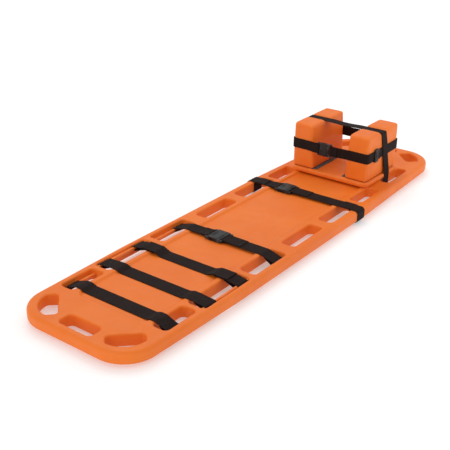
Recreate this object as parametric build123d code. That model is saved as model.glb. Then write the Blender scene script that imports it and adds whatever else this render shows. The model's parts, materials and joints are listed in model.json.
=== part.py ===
from build123d import *
from collections import namedtuple
import math
import os

# Spine board with restraint straps and a head immobiliser, in millimetres.
# Z is up, Y runs to the head end, X to the patient's left, and the origin is on the
# floor under the middle of the board.

# Board outline and thickness
board_length = 1840.0
foot_half_width = 219.0
full_half_width = 231.5
head_half_width = 211.0
full_width_from = -465.0
full_width_to = 318.0
foot_corner_radius = 106.0
head_corner_radius = 118.0
side_blend_radius = 900.0
board_underside = 10.0
board_thickness = 40.0
top_edge_radius = 12.0
bottom_edge_radius = 10.0
skin_wall = 3.5
core_clearance = 0.3

# Dished part of the deck, and how far it stays from the handholds and the board's ends
dish_side_margin = 16.0
dish_foot_margin = 160.0
dish_head_margin = 188.0
dish_depth = 6.0
dish_corner_radius = 26.0
dish_slope_run = 8.0
dish_edge_radius = 4.0

# Runners moulded into the underside, with a gap between them for the forehead strap
runner_x = 95.0
runner_width = 26.0
runner_end_radius = 12.0
runner_foot_margin = 180.0
runner_head_margin = 60.0
runner_gap_from_head = 205.0
runner_gap_length = 245.0
runner_draft = 3.0

# Handholds along each side, named from the foot end: the rib before each one (the first is
# the board's end), its length at this board length, and the rail that it leaves outside
handhold_names = "abcdefg"
handhold_ribs = (170.0, 20.0, 26.0, 56.0, 48.0, 19.0, 84.0)
handhold_lengths = (132.0, 222.0, 172.0, 180.0, 196.0, 141.0, 160.0)
handhold_rails = (24.0, 19.5, 22.0, 31.0, 29.0, 30.0, 31.0)
handhold_head_margin = 214.0
handhold_side_margin = 71.25
handhold_corner_radius = 14.0
handhold_rim_radius = 6.0

# End handholds: one across the middle and one in each corner
end_slot_half_length = 61.0
end_slot_width = 50.0
end_slot_from_edge = 26.0
corner_slot_rail = 30.0
foot_slot_chord = 20.0
head_slot_chord = 31.0
foot_slot_half_length = 54.0
head_slot_half_length = 46.0
corner_slot_fillet = 12.0

# Strap pins across three of the handholds, by their height above the floor
pin_heights = {"a": 31.0, "b": 41.0, "c": 31.0}
pin_radius = 5.0
pin_from_rail = 10.0
pin_seat_depth = 7.0
pin_clearance = 0.05

# Foam filling plugs in the underside
plug_radius = 15.0
plug_end_margin = 320.0
plug_clearance = 0.1

# Webbing, and where each body strap lies from an end of its handhold
body_web_width = 50.0
head_web_width = 38.0
web_thickness = 2.0
seat_gap = 0.3
ankle_strap_from_foot = 39.0
shin_strap_from_foot = 35.0
thigh_strap_from_head = 34.0
hip_strap_from_head = 34.0
chest_strap_from_head = 41.0
strap_return_reach = 14.0
return_gap = 0.8
strap_slope_clearance = 12.0
ridge_lead = 2.0
thigh_tab_reach = 32.0
thigh_tab_layer_short = 10.0
thigh_strap_rise_reach = 60.0
thigh_strap_level_reach = 36.0
thigh_strap_end_reach = 18.0
chest_tail_reach = 7.0
chest_wrap_ease = 0.4

# Bends in the webbing, and the runs of its steps from one layer onto another
flat_bend = 20.0
easy_bend = 12.0
layer_bend = 8.0
bar_bend = 6.0
layer_run = 8.0
bar_run = 16.0
turn_lead = 3.0
bend_clearance = 0.1

# Side-release buckles: sizes of the webbing, housing, plug, prongs and webbing bar
Buckle = namedtuple(
    "Buckle",
    "web width thickness receiver plug wall tongue"
    " prong_y prong_size prong_arm wing_from wing_length travel bar",
)
body_buckle = Buckle(50.0, 64.0, 14.0, 38.0, 9.0, 2.8, 14.0, 20.0, 6.0, 3.6, 14.5, 9.5, 36.0, 2.6)
chin_buckle = Buckle(38.0, 50.0, 11.0, 30.0, 8.0, 2.2, 10.5, 15.0, 4.6, 2.8, 11.0, 7.0, 28.0, 2.0)
buckle_end_wall = 3.0
buckle_corner_radius = 5.0
buckle_rim_radius = 2.0
buckle_window_margin = 3.0
buckle_arm_wall = 1.2
buckle_shoulder_inset = 0.5
wing_clearance = 0.6
prong_exit = 4.0
tongue_exit = 6.0
hinge_clearance = 0.1
hip_buckle_x = -15.0
chest_buckle_from_handhold = 90.0
chin_buckle_x = -14.0
buckle_tail = 70.0
sewn_tail = 34.0
chin_tail = 26.0
chin_ramp_lead = 4.0
chin_ramp_run = 22.0

# Head immobiliser
base_left_overhang = 8.0
base_right_overhang = 20.0
base_head_margin = 232.0
base_length = 252.0
base_thickness = 19.7
base_corner_radius = 22.0
base_edge_radius = 5.0
loop_thickness = 1.5
hook_thickness = 1.2
block_left_inset = 8.0
block_right_inset = 6.0
block_foot_inset = 6.0
block_head_inset = 13.0
block_top_z = 242.0
block_slope_run = 10.0
head_gap = 134.0
block_edge_radius = 9.0
groove_from_block_foot = 86.0
groove_length = 50.0
groove_depth = 6.0
block_slide = 18.0
patch_inset = 12.0
patch_corner_radius = 6.0
loop_from_edge = 4.0

# Head straps
chin_strap_z = 162.5
chin_strap_gap = 2.0
chin_slider_from_block_foot = 58.0
chin_slider_length = 24.0
chin_slider_lip = 1.2
chin_slider_frame = 5.0
chin_slider_play = 0.5
chin_slider_corner = 3.0
chin_overlap_past_slider = 30.0
chin_overlap_before_slider = 14.0
forehead_from_handhold_foot = 46.0
forehead_belt_margin = 3.0
forehead_base_drop = 2.0
forehead_ease = 0.1

# How far a cutting shape reaches past the surface that it opens, and how close two heights
# are where they count as the same level
cut_margin = 1.0
level_tolerance = 0.1

# Places that follow from the sizes above
foot_end_y = -board_length / 2
head_end_y = board_length / 2
board_top = board_underside + board_thickness
dish_floor = board_top - dish_depth
web_lift = seat_gap + web_thickness / 2
ridge_line = board_top + web_lift
dish_line = dish_floor + web_lift
layer_step = web_thickness + seat_gap
base_underside = board_top + seat_gap
base_top = base_underside + base_thickness
hook_underside = base_top + loop_thickness + seat_gap
block_underside = hook_underside + hook_thickness
groove_floor = block_top_z - groove_depth

Handhold = namedtuple("Handhold", "foot_y head_y rail pin_height")


def handhold_row():
    """The handholds of one side, which share the run that the ribs leave between the margins."""
    run = board_length - sum(handhold_ribs) - handhold_head_margin
    stretch = run / sum(handhold_lengths)
    row = {}
    head_y = foot_end_y
    for name, rib, length, rail in zip(handhold_names, handhold_ribs, handhold_lengths, handhold_rails):
        foot_y = head_y + rib
        head_y = foot_y + length * stretch
        row[name] = Handhold(foot_y, head_y, rail, pin_heights.get(name))
    return row


# The handholds, and what lines up with them
handholds = handhold_row()
handhold_inner_x = (full_half_width + head_half_width) / 2 - handhold_side_margin
dish_half_width = handhold_inner_x - dish_side_margin
ankle_strap_y = handholds["a"].foot_y + ankle_strap_from_foot
shin_strap_y = handholds["b"].foot_y + shin_strap_from_foot
thigh_strap_y = handholds["b"].head_y - thigh_strap_from_head
hip_strap_y = handholds["c"].head_y - hip_strap_from_head
chest_strap_y = handholds["e"].head_y - chest_strap_from_head
chest_buckle_x = chest_buckle_from_handhold - handhold_inner_x

# The immobiliser, from the board's head end and the handholds
base_left_x = handhold_inner_x + base_left_overhang
base_right_x = -handhold_inner_x - base_right_overhang
base_head_y = head_end_y - base_head_margin
base_foot_y = base_head_y - base_length
block_left_x = base_left_x - block_left_inset
block_right_x = base_right_x + block_right_inset
block_foot_y = base_foot_y + block_foot_inset
block_head_y = base_head_y - block_head_inset
block_foot_width = (block_left_x - block_right_x - head_gap) / 2
block_top_width = block_foot_width - block_slope_run
groove_y = block_foot_y + groove_from_block_foot + groove_length / 2
chin_slider_y = block_foot_y + chin_slider_from_block_foot
chin_overlap_end_y = chin_slider_y + chin_overlap_past_slider
chin_overlap_foot_y = chin_slider_y - chin_overlap_before_slider
forehead_bottom_y = handholds["g"].foot_y + forehead_from_handhold_foot


def half_width_at(y):
    """Half the board's width at a place along it, before its corners are rounded."""
    stations = (
        (foot_end_y, foot_half_width),
        (full_width_from, full_half_width),
        (full_width_to, full_half_width),
        (head_end_y, head_half_width),
    )
    for (start, width), (end, next_width) in zip(stations, stations[1:]):
        if y <= end:
            return width + (next_width - width) * (y - start) / (end - start)
    return head_half_width


def handhold_outer_x(handhold):
    """The inner side of the rail that a handhold leaves."""
    middle = (handhold.foot_y + handhold.head_y) / 2
    return half_width_at(middle) - handhold.rail


def pin_x(handhold):
    return handhold_outer_x(handhold) - pin_from_rail


def both_sides(solid):
    """A solid and its mirror image on the board's other side."""
    return [solid, mirror(solid, about=Plane.YZ)]


def write(name, solids):
    """Write one node, from one solid or from several that stand apart."""
    parts = solids if isinstance(solids, list) else [solids]
    flat = [piece for part in parts for piece in part.solids()]
    shape = flat[0] if len(flat) == 1 else Compound(children=flat)
    export_step(shape, f"parts/{name}.step")


# Board

def board_outline(inset=0.0):
    left = [
        (-foot_half_width, foot_end_y),
        (-full_half_width, full_width_from),
        (-full_half_width, full_width_to),
        (-head_half_width, head_end_y),
    ]
    right = [(-x, y) for x, y in reversed(left)]
    plan = make_face(Polyline(*left, *right, close=True))
    levels = plan.vertices().group_by(Axis.Y)
    plan = fillet(levels[1] + levels[2], side_blend_radius)
    plan = fillet(plan.vertices().group_by(Axis.Y)[0], foot_corner_radius)
    plan = fillet(plan.vertices().group_by(Axis.Y)[-1], head_corner_radius)
    return offset(plan, amount=-inset) if inset else plan


def side_slot(handhold, grow):
    """A side handhold's plan, on the patient's left."""
    outer = handhold_outer_x(handhold)
    length = handhold.head_y - handhold.foot_y
    plan = RectangleRounded(
        outer - handhold_inner_x + 2 * grow, length + 2 * grow, handhold_corner_radius + grow
    )
    return Pos((outer + handhold_inner_x) / 2, (handhold.foot_y + handhold.head_y) / 2) * plan


def corner_slot(end, grow):
    """A corner handhold's plan: a segment of the corner's own circle, on the patient's left."""
    is_foot = end < 0
    corner_radius = foot_corner_radius if is_foot else head_corner_radius
    half_width = foot_half_width if is_foot else head_half_width
    chord = foot_slot_chord if is_foot else head_slot_chord
    half_length = foot_slot_half_length if is_foot else head_slot_half_length
    centre = Pos(half_width - corner_radius, end * (head_end_y - corner_radius))
    turn = Rot(0, 0, end * 45)
    radius = corner_radius - corner_slot_rail
    window = Pos(chord + radius / 2, 0) * Rectangle(radius, 2 * half_length)
    segment = Circle(radius) & window
    segment = fillet(segment.vertices(), corner_slot_fillet)
    plan = centre * turn * segment
    return offset(plan, amount=grow) if grow else plan


def end_slot(end, grow):
    """The handhold across the middle of one end."""
    plan = RectangleRounded(
        2 * (end_slot_half_length + grow), end_slot_width + 2 * grow, handhold_corner_radius + grow
    )
    centre_y = end * (head_end_y - end_slot_from_edge - end_slot_width / 2)
    return Pos(0, centre_y) * plan


def slot_plans(grow=0.0):
    plans = []
    for handhold in handholds.values():
        plans += both_sides(side_slot(handhold, grow))
    for end in (-1, 1):
        plans += both_sides(corner_slot(end, grow))
        plans.append(end_slot(end, grow))
    return plans


def dish_pocket(grow=0.0):
    """The dished deck, cut with sloping sides."""
    foot_y = foot_end_y + dish_foot_margin
    head_y = head_end_y - dish_head_margin
    slope = math.degrees(math.atan2(dish_slope_run, dish_depth))
    plan = RectangleRounded(
        2 * (dish_half_width + grow - dish_slope_run),
        head_y - foot_y + 2 * (grow - dish_slope_run),
        dish_corner_radius,
    )
    place = Pos(0, (foot_y + head_y) / 2, dish_floor - grow)
    return extrude(place * plan, amount=dish_depth + 2 * grow + cut_margin, taper=-slope)


def slot_holes(grow=0.0):
    bottom = board_underside - grow - cut_margin
    reach = board_thickness + 2 * (grow + cut_margin)
    return [extrude(Pos(0, 0, bottom) * plan, amount=reach) for plan in slot_plans(grow)]


def outer_board():
    """The board's outside as one solid, with rounded edges and handhold rims."""
    body = extrude(Pos(0, 0, board_underside) * board_outline(), amount=board_thickness)
    levels = body.faces().filter_by(Axis.Z).sort_by(Axis.Z)
    body = fillet(levels[-1].edges(), top_edge_radius)
    body = fillet(body.faces().filter_by(Axis.Z).sort_by(Axis.Z)[0].edges(), bottom_edge_radius)
    body -= slot_holes()
    levels = body.faces().filter_by(Axis.Z).sort_by(Axis.Z)
    rims = [edge for face in (levels[0], levels[-1]) for wire in face.inner_wires() for edge in wire.edges()]
    body = fillet(rims, handhold_rim_radius)
    body -= dish_pocket()
    lowest = dish_floor - level_tolerance
    highest = dish_floor + level_tolerance
    floor = body.faces().filter_by(Axis.Z).filter_by_position(Axis.Z, lowest, highest)
    return fillet(floor.edges(), dish_edge_radius)


def inner_board(inset):
    """The hollow that lies inside the skin, or the foam that fills it."""
    bottom = board_underside + inset
    height = board_thickness - 2 * inset
    body = extrude(Pos(0, 0, bottom) * board_outline(inset), amount=height)
    levels = body.faces().filter_by(Axis.Z).sort_by(Axis.Z)
    body = chamfer(levels[0].edges() + levels[-1].edges(), 2 * skin_wall)
    body -= slot_holes(inset)
    body -= dish_pocket(inset)
    seats = pin_rods(pin_radius + inset, pin_seat_depth + inset)
    plugs = plug_discs(plug_radius + inset, 2 * skin_wall)
    return body - seats - plugs


def pin_rods(radius, seat):
    """Rods across the handholds that have a pin, running into the skin by their seat."""
    rods = []
    for handhold in handholds.values():
        if handhold.pin_height is None:
            continue
        length = handhold.head_y - handhold.foot_y + 2 * seat
        middle = (handhold.foot_y + handhold.head_y) / 2
        rod = Pos(pin_x(handhold), middle, handhold.pin_height) * Rot(90, 0, 0) * Cylinder(radius, length)
        rods += both_sides(rod)
    return rods


def plug_discs(radius, height):
    base = (Align.CENTER, Align.CENTER, Align.MIN)
    places = (foot_end_y + plug_end_margin, head_end_y - plug_end_margin)
    return [Pos(0, y, board_underside) * Cylinder(radius, height, align=base) for y in places]


def runners():
    """Drafted runners under the board, which keep the straps below it off the floor."""
    gap_head_y = head_end_y - runner_gap_from_head
    spans = (
        (foot_end_y + runner_foot_margin, gap_head_y - runner_gap_length),
        (gap_head_y, head_end_y - runner_head_margin),
    )
    made = []
    for foot_y, head_y in spans:
        plan = RectangleRounded(runner_width, head_y - foot_y, runner_end_radius)
        slope = math.degrees(math.atan2(runner_draft, board_underside))
        foot = Pos(runner_x, (foot_y + head_y) / 2, board_underside) * plan
        made += both_sides(extrude(foot, amount=-board_underside, taper=slope))
    return made


def board_skin():
    skin = outer_board() - inner_board(skin_wall)
    skin = skin + runners()
    skin -= pin_rods(pin_radius + pin_clearance, pin_seat_depth + pin_clearance)
    return skin - plug_discs(plug_radius + plug_clearance, skin_wall)


def strap_pins(side):
    """The pins of one side: 1 is the patient's left, -1 the right."""
    return [rod for rod in pin_rods(pin_radius, pin_seat_depth) if rod.center().X * side > 0]


# Webbing

def offset_points(points, distance):
    """Shift a polyline sideways by a distance, to its left where that is positive."""
    directions = [Vector(*b) - Vector(*a) for a, b in zip(points, points[1:])]
    normals = [Vector(-d.Y, d.X).normalized() for d in directions]
    shifted = [Vector(*points[0]) + normals[0] * distance]
    for point, before, after in zip(points[1:-1], normals, normals[1:]):
        bisector = before + after
        shifted.append(Vector(*point) + bisector * (distance / (1 + before.dot(after))))
    shifted.append(Vector(*points[-1]) + normals[-1] * distance)
    return [(p.X, p.Y) for p in shifted]


def turns_left(a, b, c):
    return (b[0] - a[0]) * (c[1] - b[1]) - (b[1] - a[1]) * (c[0] - b[0]) > 0


def band_face(points, radii):
    """The section of a bent strip of webbing, from its centre line and its bends."""
    sides = []
    for side in (1, -1):
        inside = [turns_left(a, b, c) == (side > 0) for a, b, c in zip(points, points[1:], points[2:])]
        bends = [
            radius - web_thickness / 2 if is_inside else radius + web_thickness / 2
            for radius, is_inside in zip(radii, inside)
        ]
        shifted = offset_points(points, side * web_thickness / 2)
        sides.append(FilletPolyline(*shifted, radius=bends))
    ends = [Line(sides[0] @ place, sides[1] @ place) for place in (0, 1)]
    return make_face([*sides, *ends])


def cross_band(points, radii, y, width):
    """Webbing that runs across the board: its points are places in X and Z."""
    section = Plane.XZ * band_face(points, radii)
    return Pos(0, y, 0) * extrude(section, amount=width / 2, both=True)


def round_bar(x, z, radius, inboard):
    """The two corners of a strap's turn round a bar, from above it to below it."""
    reach = radius + web_lift
    return [(x - inboard * reach, z + reach), (x - inboard * reach, z - reach)]


def pin_loop(handhold):
    """A strap end on the patient's left: from the ridge, round the pin and back under itself."""
    x = pin_x(handhold)
    z = handhold.pin_height
    reach = pin_radius + web_lift
    over_pin = (x - turn_lead, z + reach)
    drop = (ridge_line - over_pin[1]) / (over_pin[0] - handhold_inner_x)
    over_return = ridge_line - drop * strap_return_reach
    points = [
        (handhold_inner_x, ridge_line),
        over_pin,
        *round_bar(x, z, pin_radius, -1),
        (x - turn_lead, z - reach),
        (handhold_inner_x + strap_return_reach, over_return - layer_step - return_gap),
    ]
    tight = reach - bend_clearance
    return points, [easy_bend, layer_bend, tight, tight, bar_bend]


def leg_strap(y, handhold):
    """A strap that lies across the dished deck, looped round a pin at each side."""
    loop, loop_radii = pin_loop(handhold)
    dish_run = dish_half_width - dish_slope_run - strap_slope_clearance
    lying = [(dish_run, dish_line), (dish_half_width - ridge_lead, ridge_line)]
    half = lying + loop
    radii = [easy_bend, easy_bend] + loop_radii
    points = [(-px, pz) for px, pz in reversed(half)] + half
    return cross_band(points, radii[::-1] + radii, y, body_web_width)


def thigh_tab():
    """A short doubled tab round the pin, on the patient's left."""
    handhold = handholds["b"]
    x = pin_x(handhold)
    z = handhold.pin_height
    reach = pin_radius + web_lift
    inner = handhold_inner_x
    points = [
        (inner - thigh_tab_reach, ridge_line),
        (inner + ridge_lead, ridge_line),
        (x - 2 * turn_lead, z - reach),
        *reversed(round_bar(x, z, pin_radius, -1)),
        (x - turn_lead, z + reach),
        (inner + layer_run, ridge_line + layer_step),
        (inner - thigh_tab_reach + thigh_tab_layer_short, ridge_line + layer_step),
    ]
    tight = reach - bend_clearance
    radii = [layer_bend, bar_bend, tight, tight, bar_bend, layer_bend]
    return cross_band(points, radii, thigh_strap_y, body_web_width)


def thigh_strap():
    """The strap that lies over the deck and over both tabs."""
    over_tab = ridge_line + 2 * layer_step
    half = [
        (handhold_inner_x - thigh_strap_rise_reach, dish_line),
        (handhold_inner_x - thigh_strap_level_reach, over_tab),
        (handhold_inner_x + thigh_strap_end_reach, over_tab),
    ]
    points = [(-px, pz) for px, pz in reversed(half)] + half
    return cross_band(points, [flat_bend] * 4, thigh_strap_y, body_web_width)


def bar_x(buckle, toward):
    """Where a buckle's webbing bar stands from its mouth: 1 is the plug, -1 the receiver."""
    clear = buckle.bar + 2 * web_lift + web_thickness
    return toward * ((buckle.plug if toward > 0 else buckle.receiver) + clear)


def bar_turn(buckle, toward, tail):
    """A strap end at a buckle, in the buckle's own X and Z: the tail, the bar, the strap."""
    x = bar_x(buckle, toward)
    reach = buckle.bar + web_lift
    points = [
        (x + toward * tail, layer_step),
        (x + toward * bar_run, layer_step),
        (x + toward * turn_lead, reach),
        (x - toward * reach, reach),
        (x - toward * reach, -reach),
        (x + toward * turn_lead, -reach),
        (x + toward * bar_run, 0.0),
    ]
    tight = reach - bend_clearance
    return points, [layer_bend, bar_bend, tight, tight, bar_bend]


def hip_strap_left():
    turn, radii = bar_turn(body_buckle, 1, buckle_tail)
    loop, loop_radii = pin_loop(handholds["c"])
    start = [(hip_buckle_x + px, ridge_line + pz) for px, pz in turn]
    return cross_band(start + loop, radii + [layer_bend] + loop_radii, hip_strap_y, body_web_width)


def hip_strap_right():
    turn, radii = bar_turn(body_buckle, -1, sewn_tail)
    loop, loop_radii = pin_loop(handholds["c"])
    start = [(hip_buckle_x + px, ridge_line + pz) for px, pz in turn]
    end = [(-px, pz) for px, pz in loop]
    return cross_band(start + end, radii + [layer_bend] + loop_radii, hip_strap_y, body_web_width)


def rail_wrap(side):
    """A chest strap's end: down through the handhold, round the rail and back over itself."""
    handhold = handholds["e"]
    inner = handhold_outer_x(handhold) - web_lift
    outer = half_width_at(chest_strap_y) + web_lift
    under = board_underside - web_lift
    points = [
        (inner, ridge_line),
        (inner, under),
        (outer, under),
        (outer, ridge_line + chest_wrap_ease),
        (inner + layer_run, ridge_line + chest_wrap_ease),
        (inner - layer_run, ridge_line + layer_step),
        (handhold_inner_x + chest_tail_reach, ridge_line + layer_step),
    ]
    rim = handhold_rim_radius + web_lift / 2
    radii = [rim, rim, bottom_edge_radius, top_edge_radius, layer_bend, layer_bend]
    return [(side * px, pz) for px, pz in points], radii


def chest_strap(toward):
    tail = buckle_tail if toward > 0 else sewn_tail
    turn, radii = bar_turn(body_buckle, toward, tail)
    wrap, wrap_radii = rail_wrap(toward)
    start = [(chest_buckle_x + px, ridge_line + pz) for px, pz in turn]
    return cross_band(start + wrap, radii + [layer_bend] + wrap_radii, chest_strap_y, body_web_width)


# Side-release buckles, in their own frame: X along the strap, the mouth at X = 0, Z up

def webbing_bar(buckle, toward):
    """The webbing bar and the two arms that carry it."""
    x = bar_x(buckle, toward)
    root = toward * (buckle.plug if toward > 0 else buckle.receiver)
    arm_width = (buckle.width - buckle.web) / 2 - cut_margin
    inner_end = root - toward * buckle_rim_radius
    outer_end = x + toward * (buckle.bar + buckle_arm_wall)
    arm_height = 2 * (buckle.bar + buckle_arm_wall)
    arm_y = (buckle.width - arm_width) / 2
    arm = Pos((inner_end + outer_end) / 2, 0, 0) * Box(abs(outer_end - inner_end), arm_width, arm_height)
    arms = [Pos(0, side * arm_y, 0) * arm for side in (1, -1)]
    bar = Pos(x, 0, 0) * Rot(90, 0, 0) * Cylinder(buckle.bar, buckle.width - arm_width)
    return arms[0] + arms[1] + bar


def receiver(buckle):
    """The female half: a housing with a wide mouth and a window in each side."""
    low = (Align.MAX, Align.CENTER, Align.CENTER)
    housing = Box(buckle.receiver, buckle.width, buckle.thickness, align=low)
    ends = housing.edges().filter_by(Axis.Z)
    housing = fillet(ends.group_by(Axis.X)[0], buckle_corner_radius)
    rims = housing.faces().filter_by(Axis.Z).edges()
    housing = fillet(rims, buckle_rim_radius)
    depth = buckle.receiver - buckle_end_wall
    mouth_width = buckle.width - 2 * buckle.wall
    mouth_height = buckle.thickness - 2 * buckle.wall
    housing -= Pos(cut_margin, 0, 0) * Box(depth + cut_margin, mouth_width, mouth_height, align=low)
    window = Pos(buckle_window_margin - buckle.wing_from, 0, 0) * Box(
        buckle.wing_length + 2 * buckle_window_margin,
        buckle.width + 2 * cut_margin,
        mouth_height - 2 * buckle_shoulder_inset,
        align=low,
    )
    return housing - window + webbing_bar(buckle, -1)


def plug_body(buckle):
    """The male half: a shoulder that closes the mouth, a centre tongue and the webbing bar."""
    shoulder_thickness = buckle.thickness - 2 * buckle_shoulder_inset
    shoulder = Pos(seat_gap, 0, 0) * Box(
        buckle.plug - seat_gap,
        buckle.width,
        shoulder_thickness,
        align=(Align.MIN, Align.CENTER, Align.CENTER),
    )
    shoulder = fillet(shoulder.faces().filter_by(Axis.Z).edges(), buckle_rim_radius)
    tongue = Pos(buckle.plug / 2, 0, 0) * Box(
        buckle.travel - tongue_exit + buckle.plug / 2,
        buckle.tongue,
        buckle.prong_size - 2 * buckle_shoulder_inset,
        align=(Align.MAX, Align.CENTER, Align.CENTER),
    )
    body = shoulder + tongue + webbing_bar(buckle, 1)
    pocket_height = buckle.prong_size + 2 * seat_gap
    for side in (1, -1):
        place = Pos(buckle.plug / 2, side * buckle.prong_y, 0)
        pocket = place * Cylinder(buckle.prong_arm + hinge_clearance, pocket_height)
        throat = place * Box(
            buckle.plug, 2 * buckle.prong_arm, pocket_height, align=(Align.MAX, Align.CENTER, Align.CENTER)
        )
        body = body - pocket - throat
    return body


def prong(buckle, side):
    """One spring prong: a knuckle as thick as two arms, an arm and a latching wing near its tip."""
    arm_half = buckle.prong_arm / 2
    root = buckle.plug / 2
    tip = prong_exit - buckle.travel
    wing = buckle.width / 2 - buckle.wall - wing_clearance - buckle.prong_y
    outline = [
        (root, -arm_half),
        (tip, -arm_half),
        (tip, arm_half),
        (-buckle.wing_from - buckle.wing_length, wing),
        (-buckle.wing_from, wing),
        (-buckle.wing_from, arm_half),
        (root, arm_half),
    ]
    arm = extrude(make_face(Polyline(*outline, close=True)), amount=buckle.prong_size / 2, both=True)
    knuckle = Pos(root, 0, 0) * Cylinder(buckle.prong_arm, buckle.prong_size)
    made = Pos(0, buckle.prong_y, 0) * (arm + knuckle)
    return made if side > 0 else mirror(made, about=Plane.XZ)


def write_buckle(name, buckle, place):
    write(f"{name}_receiver", place * receiver(buckle))
    write(f"{name}_plug", place * plug_body(buckle))
    write(f"{name}_prong_left", place * prong(buckle, 1))
    write(f"{name}_prong_right", place * prong(buckle, -1))


# Head immobiliser

def base_pad():
    width = base_left_x - base_right_x
    length = base_head_y - base_foot_y
    plan = Pos((base_left_x + base_right_x) / 2, (base_foot_y + base_head_y) / 2) * RectangleRounded(
        width, length, base_corner_radius
    )
    pad = extrude(Pos(0, 0, base_underside) * plan, amount=base_thickness)
    return fillet(pad.faces().filter_by(Axis.Z).edges(), base_edge_radius)


def patch(outer_x, inner_x, inset, bottom, thickness):
    """A flat hook or loop panel between two places in X, as long as a block less an inset."""
    length = block_head_y - block_foot_y - 2 * inset
    plan = RectangleRounded(abs(outer_x - inner_x), length, patch_corner_radius)
    place = Pos((outer_x + inner_x) / 2, (block_foot_y + block_head_y) / 2, bottom)
    return extrude(place * plan, amount=thickness)


def loop_field(outer_x, side):
    """The loop panel on the base pad, wide enough for the block's adjustment."""
    outer = outer_x - side * loop_from_edge
    inner = outer_x - side * (block_foot_width + block_slide - loop_from_edge)
    return patch(outer, inner, patch_inset / 2, base_top, loop_thickness)


def hook_patch(outer_x, side):
    inner = outer_x - side * (block_foot_width - patch_inset)
    return patch(outer_x - side * patch_inset, inner, patch_inset, hook_underside, hook_thickness)


def head_block(outer_x, side):
    """A foam block with an upright outer face, a sloping inner face and a strap groove."""
    length = block_head_y - block_foot_y
    section = [
        (outer_x, block_underside),
        (outer_x, block_top_z),
        (outer_x - side * block_top_width, block_top_z),
        (outer_x - side * block_foot_width, block_underside),
    ]
    face = Plane.XZ * make_face(Polyline(*section, close=True))
    block = Pos(0, (block_foot_y + block_head_y) / 2, 0) * extrude(face, amount=length / 2, both=True)
    above_underside = block_underside + cut_margin
    soft = block.edges().filter_by_position(Axis.Z, above_underside, block_top_z + cut_margin)
    block = fillet(soft, block_edge_radius)
    groove = Pos(outer_x, groove_y, groove_floor) * Box(
        2 * (block_foot_width + cut_margin),
        groove_length,
        groove_depth + cut_margin,
        align=(Align.CENTER, Align.CENTER, Align.MIN),
    )
    return block - groove


# Head straps

def upright_band(points, radii):
    """Head webbing that stands on edge: its points are places in X and Y."""
    section = Pos(0, 0, chin_strap_z) * band_face(points, radii)
    return extrude(section, amount=head_web_width / 2, both=True)


def chin_line():
    """Where the chin strap's centre line runs beside the blocks: left, right, foot and head."""
    away = chin_strap_gap + web_thickness / 2
    return block_left_x + away, block_right_x - away, block_foot_y - away, block_head_y + away


def chin_buckle_y():
    """The chin buckle stands clear of the blocks' faces, so that its plug can slide past them."""
    return block_foot_y - 2 * seat_gap - chin_buckle.thickness / 2


def chin_turn(toward):
    """The chin strap's end at its buckle, and its ramp from there back to the blocks' faces."""
    turn, radii = bar_turn(chin_buckle, toward, chin_tail)
    points = [(chin_buckle_x + px, chin_buckle_y() - pz) for px, pz in turn]
    ramp_from = chin_buckle_x + bar_x(chin_buckle, toward) + toward * (chin_tail + chin_ramp_lead)
    ramp = [(ramp_from, chin_buckle_y()), (ramp_from + toward * chin_ramp_run, chin_line()[2])]
    return points + ramp, radii + [layer_bend, flat_bend, flat_bend]


def chin_strap_left():
    left, _, foot, _ = chin_line()
    start, radii = chin_turn(1)
    corner = block_edge_radius + chin_strap_gap
    points = start + [
        (left, foot),
        (left, chin_overlap_foot_y),
        (left + layer_step, chin_overlap_foot_y + layer_run),
        (left + layer_step, chin_overlap_end_y),
    ]
    return upright_band(points, radii + [corner, bar_bend, bar_bend])


def chin_strap_right():
    left, right, foot, head = chin_line()
    start, radii = chin_turn(-1)
    corner = block_edge_radius + chin_strap_gap
    points = start + [
        (right, foot),
        (right, head),
        (left, head),
        (left, chin_overlap_foot_y + layer_run + web_thickness),
    ]
    return upright_band(points, radii + [corner, corner, corner])


def chin_slider():
    """A flat ring round both layers of the chin strap, with a bar across its outer side."""
    left = chin_line()[0]
    inner_face = left - web_thickness / 2 - seat_gap
    outer_face = left + layer_step + web_thickness / 2 + seat_gap
    back = inner_face - chin_slider_lip
    front = outer_face + 2 * chin_slider_lip
    place = Pos((back + front) / 2, chin_slider_y, chin_strap_z)
    opening_height = head_web_width + 2 * chin_slider_play
    ring = place * Box(front - back, chin_slider_length, opening_height + 2 * chin_slider_frame)
    ring = fillet(ring.edges().filter_by(Axis.X), chin_slider_corner)
    opening = Pos((inner_face + outer_face) / 2, chin_slider_y, chin_strap_z) * Box(
        outer_face - inner_face, chin_slider_length + 2 * cut_margin, opening_height
    )
    ring -= opening
    for side in (1, -1):
        slot = Pos(front, chin_slider_y + side * chin_slider_length / 4, chin_strap_z) * Box(
            2 * (front - outer_face) + cut_margin, chin_slider_length / 4, opening_height
        )
        ring -= slot
    return ring


def forehead_side(side):
    """The forehead strap's route down one side, from the groove to the underside of the board."""
    outer = abs(block_left_x if side > 0 else block_right_x)
    base = abs(base_left_x if side > 0 else base_right_x)
    belt = outer + chin_strap_gap + web_thickness
    away = web_lift + forehead_ease
    top = groove_floor + web_lift
    low = base_top - forehead_base_drop
    under = board_underside - web_lift
    half_belt = head_web_width / 2 + forehead_belt_margin
    levels = [
        (outer + away, top),
        (belt + away, chin_strap_z + half_belt),
        (belt + away, chin_strap_z - half_belt),
        (base + away, low),
        (base + away, under),
    ]
    slant = (forehead_bottom_y - groove_y) / (top - low)
    return [(side * x, groove_y + slant * (top - max(z, low)), z) for x, z in levels]


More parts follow.
